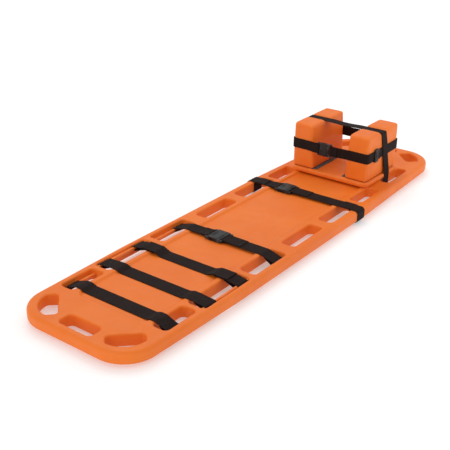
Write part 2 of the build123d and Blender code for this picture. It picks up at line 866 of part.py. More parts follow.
def ribbon(points, width):
    """A closed loop of webbing through places in space, its width along Y throughout."""
    pieces = []
    for start, end in zip(points, points[1:] + points[:1]):
        a = Vector(*start)
        b = Vector(*end)
        across = Vector(0, width / 2, 0)
        face = Face(Wire.make_polygon([a - across, b - across, b + across, a + across], close=True))
        pieces.append(extrude(face, amount=web_thickness / 2, both=True))
        pieces.append(Pos(*start) * Rot(90, 0, 0) * Cylinder(web_thickness / 2, width))
    return pieces[0].fuse(*pieces[1:])


def forehead_strap():
    left = forehead_side(1)
    right = forehead_side(-1)
    return ribbon(left + right[::-1], head_web_width)


# The assembly

def write_board():
    write("board_skin", board_skin())
    write("foam_core", inner_board(skin_wall + core_clearance))
    write("fill_plugs", plug_discs(plug_radius, skin_wall))
    write("strap_pins_left", strap_pins(1))
    write("strap_pins_right", strap_pins(-1))


def write_body_straps():
    write("ankle_strap", leg_strap(ankle_strap_y, handholds["a"]))
    write("shin_strap", leg_strap(shin_strap_y, handholds["b"]))
    write("thigh_tab_left", thigh_tab())
    write("thigh_tab_right", mirror(thigh_tab(), about=Plane.YZ))
    write("thigh_strap", thigh_strap())
    write("hip_strap_left", hip_strap_left())
    write("hip_strap_right", hip_strap_right())
    write("chest_strap_left", chest_strap(1))
    write("chest_strap_right", chest_strap(-1))
    write_buckle("hip_buckle", body_buckle, Pos(hip_buckle_x, hip_strap_y, ridge_line))
    write_buckle("chest_buckle", body_buckle, Pos(chest_buckle_x, chest_strap_y, ridge_line))


def write_immobiliser():
    write("base_pad", base_pad())
    for name, outer_x, side in (("left", block_left_x, 1), ("right", block_right_x, -1)):
        write(f"loop_field_{name}", loop_field(outer_x, side))
        write(f"hook_patch_{name}", hook_patch(outer_x, side))
        write(f"head_block_{name}", head_block(outer_x, side))
    write("forehead_strap", forehead_strap())
    write("chin_strap_left", chin_strap_left())
    write("chin_strap_right", chin_strap_right())
    write("chin_slider", chin_slider())
    place = Pos(chin_buckle_x, chin_buckle_y(), chin_strap_z) * Rot(90, 0, 0)
    write_buckle("chin_buckle", chin_buckle, place)


os.makedirs("parts", exist_ok=True)
write_board()
write_body_straps()
write_immobiliser()
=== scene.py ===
import json
import math

import bmesh
import bpy
import numpy as np
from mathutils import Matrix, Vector, noise


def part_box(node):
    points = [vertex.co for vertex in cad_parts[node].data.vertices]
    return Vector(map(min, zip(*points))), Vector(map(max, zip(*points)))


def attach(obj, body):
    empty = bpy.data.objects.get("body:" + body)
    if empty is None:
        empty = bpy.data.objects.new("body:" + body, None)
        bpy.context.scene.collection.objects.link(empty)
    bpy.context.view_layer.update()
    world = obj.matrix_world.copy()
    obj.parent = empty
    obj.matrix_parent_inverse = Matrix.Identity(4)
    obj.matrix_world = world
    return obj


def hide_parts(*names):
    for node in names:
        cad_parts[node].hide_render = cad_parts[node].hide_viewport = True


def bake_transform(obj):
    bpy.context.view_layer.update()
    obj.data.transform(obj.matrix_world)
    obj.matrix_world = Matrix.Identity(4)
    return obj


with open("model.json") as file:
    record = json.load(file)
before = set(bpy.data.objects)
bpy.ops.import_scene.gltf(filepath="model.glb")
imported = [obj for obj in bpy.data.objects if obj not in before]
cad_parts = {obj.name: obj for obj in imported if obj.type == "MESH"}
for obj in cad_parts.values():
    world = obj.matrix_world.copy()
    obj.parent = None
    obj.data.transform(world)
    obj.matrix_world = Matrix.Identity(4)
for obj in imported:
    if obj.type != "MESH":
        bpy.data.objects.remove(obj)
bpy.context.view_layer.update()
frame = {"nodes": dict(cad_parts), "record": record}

# Lengths are in metres, as in the frame. MM is one millimetre.
MM = 0.001

# Reading the CAD meshes: how near two corners count as one, and how a strap's cut end is known
MERGE_DISTANCE = 0.01 * MM
CORNER_GRID = 0.005 * MM
END_TOLERANCE = 0.1 * MM
SQUARE_COSINE = 0.05

# A strap's centre line: the steps along its two sides, and the part of the far side, as a share
# of its length, that is searched for the nearest place
SIDE_STEP = 0.5 * MM
FAR_SIDE_STEP = 0.25 * MM
FAR_SIDE_WINDOW = 0.06

# Webbing: its sizes, and its section as shares of the half width and of the thickness
HEAD_WEB_HALF = 19.0 * MM
WEB_THICKNESS = 2.0 * MM
WEB_STEP = 2.5 * MM
SEAT_GAP = 0.3 * MM
WEB_LIFT = SEAT_GAP + WEB_THICKNESS / 2
SELVEDGE = 1.2 * MM
PROFILE_SHARES = (0.0, 0.25, 0.5, 0.72, 0.86, 0.94, 0.98, 1.0)
EDGE_FULLNESS = 0.12
FACE_FULLNESS = 0.96

# Ripple of worn webbing: its height, the lengths that its two waves are measured by, the slow
# wave's share, how it dies out towards a closed strip's seam, and how it moves the selvedges
RIPPLE = 0.16 * MM
SLOW_WAVE = 9.1 * MM
SLOW_WAVE_ACROSS = 11.0 * MM
QUICK_WAVE = 4.7 * MM
QUICK_WAVE_ACROSS = 17.0 * MM
SLOW_WAVE_SHARE = 0.65
SEAM_FADE_POWER = 0.25
SELVEDGE_PHASE = 40.0 * MM
SELVEDGE_SEED_STEP = 2.0
SELVEDGE_POWER = 3
SEED_COUNT = 97

# Stitching: the thread, its section's rises as shares of its radius, and the sewn boxes' places
# from the board's middle or from a buckle
STITCH_LENGTH = 3.2 * MM
STITCH_GAP = 1.0 * MM
STITCH_RADIUS = 0.34 * MM
STITCH_MARGIN = 4.5 * MM
STITCH_TIP = -0.3
STITCH_SIDE = 0.25
STITCH_BACK = 1.0
STITCH_BELLY = -0.6
PIN_BOX = (168.0 * MM, 184.0 * MM)
TAB_BOX = (172.0 * MM, 188.0 * MM)
CLOSURE_BOX = (116.0 * MM, 164.0 * MM)
WRAP_BOX = (160.0 * MM, 184.0 * MM)
SEWN_TAIL = (6.0 * MM, 26.0 * MM)
CHIN_SEWN_TAIL = (5.0 * MM, 19.0 * MM)
FREE_TAIL = (59.0 * MM, 62.0 * MM)
CHIN_FREE_TAIL = (16.0 * MM, 19.0 * MM)

# Straps that run up to a plug: how far past its bar they leave it, and where they lie still
PLUG_STRAPS = {
    "hip_strap_left": ("hip_buckle_plug", 25.0 * MM, 125.0 * MM),
    "chest_strap_left": ("chest_buckle_plug", 25.0 * MM, 145.0 * MM),
    "chin_strap_left": ("chin_buckle_plug", 41.0 * MM, 116.0 * MM),
}

# Forehead strap: its bends, its ease round what it crosses, and how far it hangs between the
# blocks, within the reach that they leave when both have slid in
BLOCK_BEND = 5.0 * MM
EASY_BEND = 14.0 * MM
BOARD_BEND = 4.5 * MM
BEND_PLACES = 9
BELT_MARGIN = 3.0 * MM
BELT_EASE = 0.1 * MM
BASE_DROP = 2.0 * MM
TOP_RUN_DEPTH = 1.0 * MM
FOREHEAD_SAG = 2.2 * MM
SAG_REACH = 56.0 * MM
SAG_POWER = 1.5
LAP_BOX = (-22.0 * MM, 22.0 * MM)

# Head immobiliser foam: its mesh, its swell and roughness, the corners that the forehead strap
# presses round, and the blocks' lower rims
FOAM_VOXEL = 3.6 * MM
FOAM_SMOOTHING = 0.5
FOAM_SMOOTHING_ROUNDS = 5
FOAM_CROWN = 1.1 * MM
FOAM_RIPPLE = 0.3 * MM
FOAM_RIPPLES_PER_METRE = 24.0
FOAM_RIPPLE_GAIN = 4.0
PRESSED_RADIUS = 7.0 * MM
PRESSED_MARGIN = 3.0 * MM
RIM_SINK = 1.1 * MM
RIM_HEIGHT = 9.0 * MM
RIM_EASE = 3.0 * MM

# Buckle mouldings: the broken edges, and the ribs on the plug's shoulder, on the receiver's
# closed end and on the prongs' wings. Reaches, starts and rises without MM are shares of half the
# moulding's width or height, and WING_START is one of the prong's length.
BUCKLES = ("hip", "chest", "chin")
BUCKLE_PARTS = ("receiver", "plug", "prong_left", "prong_right")
BUCKLE_BEVEL = 0.5 * MM
SLIDER_BEVEL = 0.3 * MM
BEVEL_SEGMENTS = 3
BEVEL_ANGLE = math.radians(35)
GRIP_RADIUS = 0.7 * MM
GRIP_STEP = 2.1 * MM
GRIP_SIDES = 8
GRIP_DOME = 0.7
SHOULDER_GRIPS = 3
SHOULDER_DROP = 0.5 * MM
SHOULDER_START = 2.6 * MM
SHOULDER_REACH = 0.62
RECEIVER_GRIPS = 4
RECEIVER_START = 0.78
RECEIVER_STEP = GRIP_STEP * 1.2
RECEIVER_REACH = 0.4
RECEIVER_REACH_STEP = 0.06
WING_GRIPS = 3
WING_GRIP_RADIUS = 0.5 * MM
WING_START = 0.24
WING_RISE = 0.7

# Camera, as the photograph was taken: angles in degrees, lens and sensor in millimetres,
# other lengths in metres
CAMERA_AZIMUTH = 38.423
CAMERA_ELEVATION = 25.353
CAMERA_DISTANCE = 2.9095
CAMERA_TARGET = Vector((-0.2033, -0.1173, 0.005))
CAMERA_LENS = 67.21
CAMERA_SENSOR = 36.0
CAMERA_SHIFT_X = 30.0 / 450.0

# Studio: each light's place, aim, size and power in watts; the world's strength high up and at the
# horizon, and the sines of the angles over it between which it changes; how far the floor reaches,
# and its glow, which grows between two distances from the middle
LIGHTS = {
    "key": ((-1.4, 0.9, 3.4), (0.0, 0.0, 0.0), 2.4, 32.0),
    "fill": ((-0.8, -8.0, 3.0), (0.0, 0.3, 0.1), 5.0, 118.0),
    "side": ((1.3, 1.3, 0.9), (0.1, 0.5, 0.1), 1.0, 4.0),
}
SKY_STRENGTH = 0.765
HORIZON_STRENGTH = 1.0
HORIZON_BAND = (0.02, 0.06)
FLOOR_REACH = 150.0
FLOOR_GLOW = (0.31, 0.49)
FLOOR_GLOW_REACH = (1.0, 4.5)


def rgb(red, green, blue):
    return (red, green, blue, 1.0)


# Colours: each orange has a base, a deeper and a worn, paler tone, and the hook and loop panels'
# tufts are paler at their tips
BOARD_ORANGES = (rgb(0.83, 0.182, 0.016), rgb(0.79, 0.158, 0.011), rgb(0.89, 0.32, 0.11))
PLUG_ORANGES = (rgb(0.68, 0.13, 0.014), rgb(0.64, 0.115, 0.011), rgb(0.8, 0.27, 0.08))
FOAM_ORANGES = (rgb(0.83, 0.18, 0.015), rgb(0.785, 0.155, 0.011), rgb(0.9, 0.33, 0.11))
CORE_CREAMS = (rgb(0.82, 0.75, 0.52), rgb(0.68, 0.6, 0.4))
WEB_DARK = rgb(0.0085, 0.0045, 0.0036)
BODY_WEB_LIGHT = rgb(0.0225, 0.0125, 0.0102)
HEAD_WEB_LIGHT = rgb(0.021, 0.0118, 0.0096)
WEB_SHEEN = rgb(0.55, 0.5, 0.48)
BUCKLE_BLACK = rgb(0.0105, 0.0098, 0.0095)
WORN_BLACK = rgb(0.11, 0.105, 0.1)
THREAD_BLACK = rgb(0.03, 0.028, 0.027)
LOOP_BLACK = rgb(0.006, 0.006, 0.0065)
HOOK_BLACK = rgb(0.008, 0.008, 0.0085)
PILE_TIP_GAIN = 3.0
FLOOR_GREY = rgb(0.75, 0.75, 0.75)
WHITE = rgb(1.0, 1.0, 1.0)


# Materials. A noise's scale is its number of features per metre.

class Shader:
    """One material's node tree, built call by call."""

    def __init__(self, name):
        self.material = bpy.data.materials.new(name)
        self.material.use_nodes = True
        self.tree = self.material.node_tree
        self.surface = self.tree.nodes["Principled BSDF"]

    def node(self, kind, **settings):
        made = self.tree.nodes.new(kind)
        for key, value in settings.items():
            setattr(made, key, value)
        return made

    def feed(self, socket, value):
        if isinstance(value, bpy.types.NodeSocket):
            self.tree.links.new(value, socket)
        else:
            socket.default_value = value

    def math(self, operation, a, b=0.0):
        made = self.node("ShaderNodeMath", operation=operation)
        self.feed(made.inputs[0], a)
        self.feed(made.inputs[1], b)
        return made.outputs[0]

    def part(self, value, share):
        return self.math("MULTIPLY", value, share)

    def wave(self, value):
        """One half turn of a sine for each whole step of a value."""
        return self.math("SINE", self.math("MULTIPLY", self.math("FRACT", value), math.pi))

    def place(self):
        return self.node("ShaderNodeTexCoord").outputs["Object"]

    def noise(self, scale, detail=2.0, place=None, roughness=0.5):
        made = self.node("ShaderNodeTexNoise")
        self.feed(made.inputs["Vector"], place or self.place())
        made.inputs["Scale"].default_value = scale
        made.inputs["Detail"].default_value = detail
        made.inputs["Roughness"].default_value = roughness
        return made.outputs["Fac"]

    def cells(self, scale, **settings):
        made = self.node("ShaderNodeTexVoronoi", **settings)
        self.feed(made.inputs["Vector"], self.place())
        made.inputs["Scale"].default_value = scale
        return made.outputs["Distance"]

    def scaled_place(self, scale, turn):
        made = self.node("ShaderNodeMapping")
        self.feed(made.inputs["Vector"], self.place())
        made.inputs["Scale"].default_value = scale
        made.inputs["Rotation"].default_value = (0.0, 0.0, turn)
        return made.outputs[0]

    def ramp(self, value, low, high, to_low=0.0, to_high=1.0):
        made = self.node("ShaderNodeMapRange")
        self.feed(made.inputs["Value"], value)
        made.inputs["From Min"].default_value = low
        made.inputs["From Max"].default_value = high
        made.inputs["To Min"].default_value = to_low
        made.inputs["To Max"].default_value = to_high
        return made.outputs[0]

    def mix(self, share, a, b):
        made = self.node("ShaderNodeMix", data_type="RGBA")
        self.feed(made.inputs[0], share)
        self.feed(made.inputs[6], a)
        self.feed(made.inputs[7], b)
        return made.outputs[2]

    def bump(self, height, distance, strength=1.0, under=None):
        made = self.node("ShaderNodeBump")
        self.feed(made.inputs["Height"], height)
        made.inputs["Distance"].default_value = distance
        made.inputs["Strength"].default_value = strength
        if under is not None:
            self.feed(made.inputs["Normal"], under)
        return made.outputs[0]

    def set(self, **values):
        for key, value in values.items():
            self.feed(self.surface.inputs[key.replace("_", " ")], value)
        return self.material


def edge_wear(shader):
    """1 on worn convex edges, 0 elsewhere, broken up by a noise."""
    pointiness = shader.node("ShaderNodeNewGeometry").outputs["Pointiness"]
    edges = shader.ramp(pointiness, low=0.515, high=0.56)
    broken = shader.ramp(shader.noise(scale=60.0, detail=4.0), low=0.45, high=0.62)
    return shader.math("MULTIPLY", edges, broken)


def scuffs(shader, turn, threshold):
    """Thin straight scratches that run one way, in patches."""
    stretched = shader.scaled_place(scale=(420.0, 14.0, 120.0), turn=turn)
    streaks = shader.noise(scale=1.0, detail=3.0, place=stretched, roughness=0.62)
    patches = shader.ramp(shader.noise(scale=6.0), low=0.48, high=0.66)
    return shader.math("MULTIPLY", shader.ramp(streaks, low=threshold, high=threshold + 0.06), patches)


def moulded_orange(name, base, deep, pale):
    """Moulded polyethylene: slight mottling, a fine grain, scuffs and paler worn edges."""
    shader = Shader(name)
    mottling = shader.ramp(shader.noise(scale=7.0, detail=3.0), low=0.35, high=0.68)
    lengthwise = scuffs(shader, turn=0.06, threshold=0.66)
    across = scuffs(shader, turn=1.35, threshold=0.69)
    marks = shader.math("MAXIMUM", lengthwise, across)
    colour = shader.mix(mottling, base, deep)
    colour = shader.mix(shader.part(marks, share=0.35), colour, pale)
    colour = shader.mix(shader.part(edge_wear(shader), share=0.3), colour, pale)
    waves = shader.noise(scale=16.0)
    peel = shader.noise(scale=160.0)
    grain = shader.noise(scale=1400.0)
    normal = shader.bump(waves, distance=1.6 * MM, strength=0.35)
    normal = shader.bump(peel, distance=0.12 * MM, strength=0.5, under=normal)
    normal = shader.bump(grain, distance=0.05 * MM, strength=0.6, under=normal)
    normal = shader.bump(shader.part(marks, share=-1.0), distance=0.05 * MM, strength=0.5, under=normal)
    patches = shader.noise(scale=24.0, detail=3.0)
    rough = shader.ramp(patches, low=0.3, high=0.7, to_low=0.42, to_high=0.56)
    rough = shader.math("ADD", rough, shader.part(marks, share=0.12))
    return shader.set(Base_Color=colour, Roughness=rough, Normal=normal, Specular_IOR_Level=0.3)


def coated_foam(name, base, deep, pale):
    """Closed-cell foam under a dipped vinyl coat: soft orange-peel, fine wrinkles, satin gloss."""
    shader = Shader(name)
    mottling = shader.ramp(shader.noise(scale=14.0, detail=3.0), low=0.35, high=0.7)
    colour = shader.mix(mottling, base, deep)
    colour = shader.mix(shader.part(edge_wear(shader), share=0.35), colour, pale)
    dents = shader.noise(scale=38.0)
    peel = shader.noise(scale=260.0, detail=3.0)
    cells = shader.cells(scale=620.0, feature="SMOOTH_F1")
    normal = shader.bump(dents, distance=0.7 * MM, strength=0.4)
    normal = shader.bump(peel, distance=0.16 * MM, strength=0.5, under=normal)
    normal = shader.bump(cells, distance=0.07 * MM, strength=0.45, under=normal)
    patches = shader.noise(scale=30.0, detail=3.0)
    rough = shader.ramp(patches, low=0.3, high=0.7, to_low=0.46, to_high=0.6)
    return shader.set(
        Base_Color=colour, Roughness=rough, Normal=normal, Specular_IOR_Level=0.3, Coat_Weight=0.05,
        Coat_Roughness=0.35
    )


def woven(name, dark, light, rib, pick):
    """Webbing: ribs along the strap, crossed by picks that step from rib to rib."""
    shader = Shader(name)
    split = shader.node("ShaderNodeSeparateXYZ")
    attribute = shader.node("ShaderNodeAttribute", attribute_name="weave")
    shader.feed(split.inputs[0], attribute.outputs["Vector"])
    along, across = split.outputs["X"], split.outputs["Y"]
    column = shader.math("DIVIDE", across, rib)
    odd_column = shader.math("PINGPONG", shader.math("FLOOR", column), 1.0)
    rows = shader.math("ADD", shader.math("DIVIDE", along, pick), shader.part(odd_column, share=0.5))
    rib_height = shader.math("SQRT", shader.wave(column))
    pick_height = shader.math("SQRT", shader.wave(rows))
    height = shader.math("MULTIPLY", rib_height, pick_height)
    fading = shader.ramp(shader.noise(scale=22.0, detail=3.0), low=0.3, high=0.72)
    thread = shader.math("ADD", shader.part(height, share=0.6), shader.part(fading, share=0.4))
    unevenness = shader.noise(scale=70.0)
    fibres = shader.noise(scale=2600.0)
    normal = shader.bump(unevenness, distance=0.35 * MM, strength=0.4)
    normal = shader.bump(height, distance=0.28 * MM, strength=0.75, under=normal)
    normal = shader.bump(fibres, distance=0.05 * MM, strength=0.5, under=normal)
    rough = shader.ramp(height, low=0.0, high=1.0, to_low=0.88, to_high=0.68)
    colour = shader.mix(thread, dark, light)
    shader.set(Base_Color=colour, Roughness=rough, Normal=normal, Specular_IOR_Level=0.1)
    return shader.set(Sheen_Weight=0.03, Sheen_Roughness=0.45, Sheen_Tint=WEB_SHEEN)


def black_plastic(name, colour, roughness):
    """Moulded black plastic with a fine grain and slightly worn edges."""
    shader = Shader(name)
    shade = shader.mix(shader.part(edge_wear(shader), share=0.5), colour, WORN_BLACK)
    normal = shader.bump(shader.noise(scale=1500.0), distance=0.04 * MM, strength=0.6)
    normal = shader.bump(shader.noise(scale=120.0), distance=0.1 * MM, strength=0.3, under=normal)
    patches = shader.noise(scale=90.0, detail=3.0)
    rough = shader.ramp(patches, low=0.3, high=0.7, to_low=roughness - 0.06, to_high=roughness + 0.08)
    return shader.set(Base_Color=shade, Roughness=rough, Normal=normal, Specular_IOR_Level=0.36)


def pile(name, colour, size, height):
    """Hook or loop panel: a dense field of small tufts, paler at their tips."""
    shader = Shader(name)
    tufts = shader.cells(scale=1.0 / size)
    tips = rgb(*[PILE_TIP_GAIN * share for share in colour[:3]])
    normal = shader.bump(tufts, distance=-height, strength=0.9)
    fuzz = shader.noise(scale=3000.0, detail=3.0)
    normal = shader.bump(fuzz, distance=0.1 * MM, strength=0.6, under=normal)
    shade = shader.mix(tufts, tips, colour)
    return shader.set(Base_Color=shade, Roughness=0.92, Normal=normal, Sheen_Weight=0.3)


def core_foam(name, pale, deep):
    """Rigid foam with open cut cells."""
    shader = Shader(name)
    cells = shader.cells(scale=900.0)
    normal = shader.bump(cells, distance=0.3 * MM)
    return shader.set(Base_Color=shader.mix(cells, pale, deep), Roughness=0.9, Normal=normal)


def white_floor():
    """A pale floor that glows a little, and more away from the object, as a lit backdrop does."""
    shader = Shader("studio_floor")
    distance = shader.node("ShaderNodeVectorMath", operation="LENGTH")
    shader.feed(distance.inputs[0], shader.place())
    glow = shader.ramp(distance.outputs["Value"], *FLOOR_GLOW_REACH, *FLOOR_GLOW)
    return shader.set(
        Base_Color=FLOOR_GREY, Roughness=0.9, Specular_IOR_Level=0.1,
        Emission_Color=WHITE, Emission_Strength=glow
    )


MATERIALS = {
    "board_orange": moulded_orange("board_orange", *BOARD_ORANGES),
    "plug_orange": moulded_orange("plug_orange", *PLUG_ORANGES),
    "core_foam": core_foam("core_foam", *CORE_CREAMS),
    "body_webbing": woven("body_webbing", WEB_DARK, BODY_WEB_LIGHT, rib=1.5 * MM, pick=1.9 * MM),
    "head_webbing": woven("head_webbing", WEB_DARK, HEAD_WEB_LIGHT, rib=1.3 * MM, pick=1.6 * MM),
    "buckle_black": black_plastic("buckle_black", BUCKLE_BLACK, roughness=0.42),
    "coated_foam": coated_foam("coated_foam", *FOAM_ORANGES),
    "loop_panel": pile("loop_panel", LOOP_BLACK, size=0.9 * MM, height=0.7 * MM),
    "hook_panel": pile("hook_panel", HOOK_BLACK, size=1.5 * MM, height=0.8 * MM),
}
THREAD = black_plastic("thread", THREAD_BLACK, roughness=0.62)
FLOOR = white_floor()

# Each CAD node's body and material slot, as the record says
BODIES = frame["record"]["behaviour"]["bodies"]
BODY_OF = {node: body for body, nodes in BODIES.items() for node in nodes}
SLOT_OF = {part["node"]: part["material_slot"] for part in frame["record"]["subparts"]}


# Shared steps

def show(name, mesh, material):
    piece = bpy.data.objects.new(name, mesh)
    bpy.context.scene.collection.objects.link(piece)
    mesh.materials.clear()
    mesh.materials.append(material)
    mesh.shade_smooth()
    return piece


def dress(node):
    """Give a CAD node the material of its slot."""
    mesh = frame["nodes"][node].data
    mesh.materials.clear()
    mesh.materials.append(MATERIALS[SLOT_OF[node]])


def take_place(node):
    """A detailed piece takes a CAD node's place."""
    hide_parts(node)


def stand_for(piece, node):
    """A detailed piece takes a CAD node's place and rides on its body."""
    take_place(node)
    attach(piece, BODY_OF[node])


def copied_mesh(node, name):
    """The CAD node's mesh with its doubled corners merged."""
    mesh = frame["nodes"][node].data.copy()
    mesh.name = name
    work = bmesh.new()
    work.from_mesh(mesh)
    bmesh.ops.remove_doubles(work, verts=work.verts, dist=MERGE_DISTANCE)
    work.to_mesh(mesh)
    work.free()
    return mesh


def apply_modifiers(made):
    """Turn the modifiers of several pieces into mesh, after one evaluation of the scene."""
    graph = bpy.context.evaluated_depsgraph_get()
    meshes = [bpy.data.meshes.new_from_object(piece.evaluated_get(graph)) for piece in made]
    for piece, mesh in zip(made, meshes):
        piece.modifiers.clear()
        piece.data = mesh
        mesh.shade_smooth()


def joined(parts):
    """One list of corners and one of faces, from the lists of several parts."""
    corners, faces = [], []
    for more, more_faces in parts:
        faces += [tuple(len(corners) + c for c in face) for face in more_faces]
        corners += more
    return corners, faces


def mesh_of(name, corners, faces):
    """A mesh whose faces all look outwards."""
    mesh = bpy.data.meshes.new(name)
    mesh.from_pydata([tuple(c) for c in corners], [], faces)
    mesh.update()
    work = bmesh.new()
    work.from_mesh(mesh)
    bmesh.ops.recalc_face_normals(work, faces=work.faces)
    work.to_mesh(mesh)
    work.free()
    return mesh


# Webbing strips

def section_outline(node, axis):
    """The closed outline of a strap's section, from the end face that looks along an axis."""
    mesh = frame["nodes"][node].data
    points = np.array([v.co for v in mesh.vertices])
    across = [k for k in range(3) if k != axis]
    level = points[:, axis].max()
    on_face = np.abs(points[:, axis] - level) < MERGE_DISTANCE
    keys = [tuple(np.round(p[across] / CORNER_GRID).astype(int)) for p in points]
    place = {k: p[across] for k, p in zip(keys, points)}
    used = {}
    for polygon in mesh.polygons:
        corners = list(polygon.vertices)
        if all(on_face[c] for c in corners):
            for a, b in zip(corners, corners[1:] + corners[:1]):
                edge = frozenset((keys[a], keys[b]))
                used[edge] = used.get(edge, 0) + 1
    beside = {}
    for edge, count in used.items():
        if count == 1 and len(edge) == 2:
            a, b = edge
            beside.setdefault(a, []).append(b)
            beside.setdefault(b, []).append(a)
    start = min(beside)
    walk = [start]
    last, here = None, start
    while True:
        here, last = next(k for k in beside[here] if k != last), here
        if here == start:
            break
        walk.append(here)
    return np.array([place[k] for k in walk])


def split_at_ends(outline):
    """The outline's two long sides, both from the same end of the strap."""
    count = len(outline)
    steps = np.roll(outline, -1, 0) - outline
    lengths = np.linalg.norm(steps, axis=1)
    ways = steps / lengths[:, None]
    squareness = np.abs(np.sum(ways * np.roll(ways, 1, 0), axis=1))
    ends = [
        k for k in range(count)
        if abs(lengths[k] - WEB_THICKNESS) < END_TOLERANCE
        and squareness[k] < SQUARE_COSINE and squareness[(k + 1) % count] < SQUARE_COSINE
    ]
    first, second = ends[0], ends[-1]
    one = [outline[k % count] for k in range(first + 1, second + 1)]
    other = [outline[k % count] for k in range(second + 1, first + count + 1)]
    return np.array(one), np.array(other[::-1])


def dense(points, step):
    """A line's points again, evenly spaced and about a step apart."""
    lengths = np.r_[0.0, np.cumsum(np.linalg.norm(np.diff(points, axis=0), axis=1))]
    places = np.linspace(0.0, lengths[-1], max(2, int(lengths[-1] / step)))
    return np.stack([np.interp(places, lengths, points[:, k]) for k in range(points.shape[1])], 1)


def centre_line(node, axis):
    """A strap's centre line in its section's plane, evenly spaced."""
    one, other = split_at_ends(section_outline(node, axis))
    one = dense(one, SIDE_STEP)
    other = dense(other, FAR_SIDE_STEP)
    shares = np.linspace(0.0, 1.0, len(other))
    middle = []
    for share, point in zip(np.linspace(0.0, 1.0, len(one)), one):
        gaps = np.linalg.norm(other - point, axis=1)
        gaps[np.abs(shares - share) >= FAR_SIDE_WINDOW] = np.inf
        middle.append((point + other[gaps.argmin()]) / 2)
    return dense(np.array(middle), WEB_STEP)


class Web:
    """A strip of webbing along a line in space, its width along one direction throughout."""

    def __init__(self, line, wide, width, closed=False):
        self.line = np.asarray(line)
        self.wide = np.asarray(wide, float)
        self.width = width
        self.closed = closed
        if closed:
            before, after = self.line[-1:], self.line[:1]
        else:
            before, after = 2 * self.line[:1] - self.line[1:2], 2 * self.line[-1:] - self.line[-2:-1]
        ahead = np.vstack([self.line[1:], after])
        behind = np.vstack([before, self.line[:-1]])
        self.normals = np.cross(ahead - behind, self.wide)
        self.normals /= np.linalg.norm(self.normals, axis=1)[:, None]
        steps = np.linalg.norm(np.diff(self.line, axis=0), axis=1)
        self.lengths = np.r_[0.0, np.cumsum(steps)]

    def at(self, along, across, lift):
        """A place in space, from its places along and across the strip and its height over it."""
        point = np.array([np.interp(along, self.lengths, self.line[:, k]) for k in range(3)])
        normal = np.array([np.interp(along, self.lengths, self.normals[:, k]) for k in range(3)])
        return point + self.wide * across + normal / np.linalg.norm(normal) * lift

    def along_of(self, axis, place, up):
        """How far along the strip its outermost layer crosses a place on one axis."""
        ahead = np.sign(self.line[:, axis] - place)
        crossings = np.nonzero(ahead[:-1] != ahead[1:])[0]
        heights = self.line[crossings] @ np.array(up, float)
        return self.lengths[crossings[heights.argmax()]]

    def side_of(self, along, up):
        """The side of the strip, 1 or -1, that looks one way at a place along it."""
        normal = self.at(along, 0.0, 1.0) - self.at(along, 0.0, 0.0)
        return 1 if normal @ np.array(up, float) > 0 else -1


def edge_profile(width):
    """The strip's section: flat, with rounded selvedges."""
    shares = sorted({-share for share in PROFILE_SHARES} | set(PROFILE_SHARES))
    profile = []
    for share in shares:
        from_edge = (1.0 - abs(share)) * width / 2
        round_off = math.sqrt(max(0.0, 1.0 - (1.0 - min(1.0, from_edge / SELVEDGE)) ** 2))
        fullness = EDGE_FULLNESS + (FACE_FULLNESS - EDGE_FULLNESS) * round_off
        profile.append((share * width / 2, WEB_THICKNESS / 2 * fullness))
    return profile + [(v, -h) for v, h in reversed(profile)]


def ripple(along, across, seed):
    """The slight waviness of worn webbing, from -1 to 1."""
    slow = np.sin(along / SLOW_WAVE + 3 * seed) * np.cos(across / SLOW_WAVE_ACROSS + seed)
    quick = np.sin(along / QUICK_WAVE + 5 * seed + across / QUICK_WAVE_ACROSS)
    return SLOW_WAVE_SHARE * slow + (1.0 - SLOW_WAVE_SHARE) * quick


def web_mesh(name, web, seed):
    """The strip's mesh, with its places along and across the weave as an attribute."""
    ring = edge_profile(web.width)
    v = np.array([p[0] for p in ring])[None, :]
    h = np.array([p[1] for p in ring])[None, :]
    along = web.lengths[:, None]
    fade = 1.0
    if web.closed:
        fade = np.sin(np.pi * np.clip(along / web.lengths[-1], 0.0, 1.0)) ** SEAM_FADE_POWER
    lift = h + RIPPLE * fade * ripple(along, v, seed)
    edge = RIPPLE * fade * ripple(along, SELVEDGE_PHASE * np.sign(v), seed + SELVEDGE_SEED_STEP)
    sideways = v + edge * (np.abs(v) / (web.width / 2)) ** SELVEDGE_POWER
    places = web.line[:, None, :] + web.wide * sideways[:, :, None]
    places = places + web.normals[:, None, :] * lift[:, :, None]
    weave = np.stack(np.broadcast_arrays(along, v, np.sign(h)), -1)
    count, size = places.shape[:2]
    faces = []
    for k in range(count if web.closed else count - 1):
        a, b = k * size, ((k + 1) % count) * size
        faces += [(a + j, a + (j + 1) % size, b + (j + 1) % size, b + j) for j in range(size)]
    if not web.closed:
        faces.append(tuple(range(size))[::-1])
        faces.append(tuple((count - 1) * size + j for j in range(size)))
    mesh = mesh_of(name, places.reshape(-1, 3).tolist(), faces)
    made = mesh.attributes.new("weave", "FLOAT_VECTOR", "POINT")
    made.data.foreach_set("vector", weave.astype(np.float32).ravel())
    return mesh


def hold(piece, node):
    """A strap, or its stitching, rides on its body, or, where it runs up to a plug, keeps its place baked
    into its mesh.
    """
    if node in PLUG_STRAPS:
        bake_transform(piece)
    else:
        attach(piece, BODY_OF[node])


def add_web(node, web):
    """A strip of webbing in a CAD strap's place."""
    name = f"{node}_web"
    seed = float(sum(ord(c) for c in node) % SEED_COUNT)
    piece = show(name, web_mesh(name, web, seed), MATERIALS[SLOT_OF[node]])
    take_place(node)
    hold(piece, node)


def add_strap(node, axis):
    """A detailed strap in the place of a CAD strap whose width runs along one axis."""
    low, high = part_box(node)
    line = np.insert(centre_line(node, axis), axis, (low[axis] + high[axis]) / 2, axis=1)
    wide = [0.0, 0.0, 0.0]
    wide[axis] = 1.0
    web = Web(line, wide, high[axis] - low[axis])
    add_web(node, web)
    return web


# Stitching

